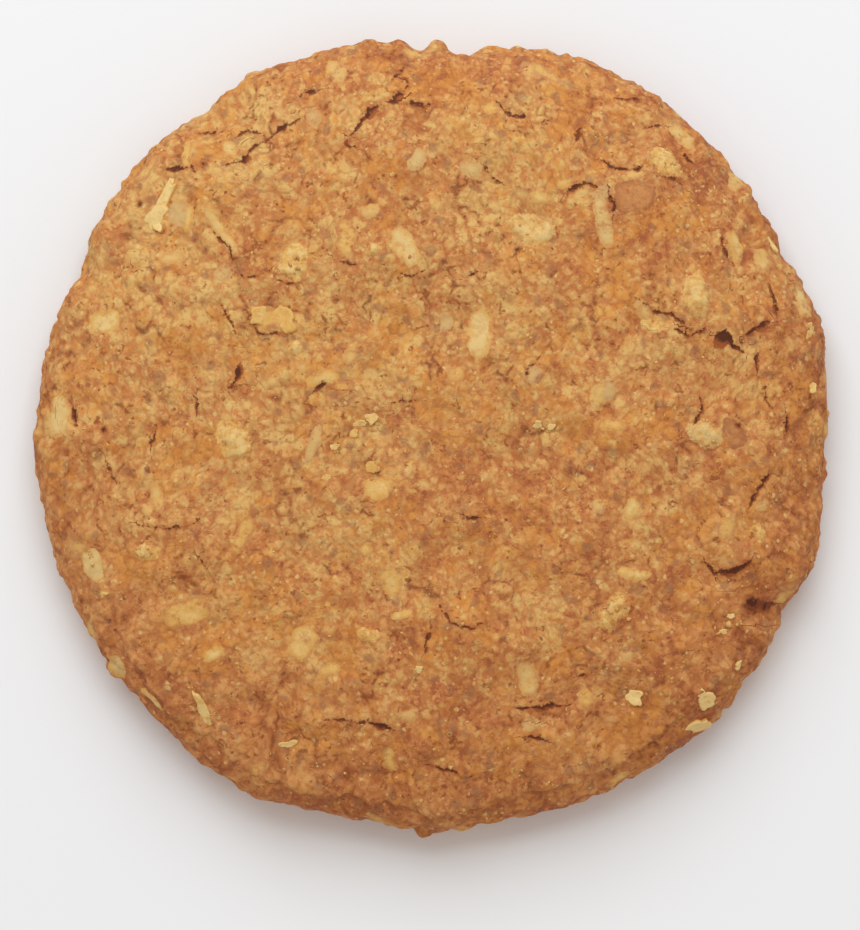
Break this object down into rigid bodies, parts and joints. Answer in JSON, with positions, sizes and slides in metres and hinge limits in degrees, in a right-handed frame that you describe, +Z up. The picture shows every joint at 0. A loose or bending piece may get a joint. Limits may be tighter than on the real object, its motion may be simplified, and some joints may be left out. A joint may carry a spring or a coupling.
{
  "type": "biscuit",
  "caption": "Round golden-brown oat and coconut biscuit with a low craggy dome, pale oat flakes, short cracks and a flat base.",
  "frame": {"origin": "middle of the biscuit's box, on the flat base", "axes": "+Z up through the crown, +X to the right and +Y to the top of the picture, which looks straight down"},
  "size_m": [0.0662, 0.0664, 0.0109],
  "materials": {
    "baked_crust": "matte"
  },
  "bodies": {
    "root": {"biscuit": "baked_crust"}
  },
  "joints": []
}
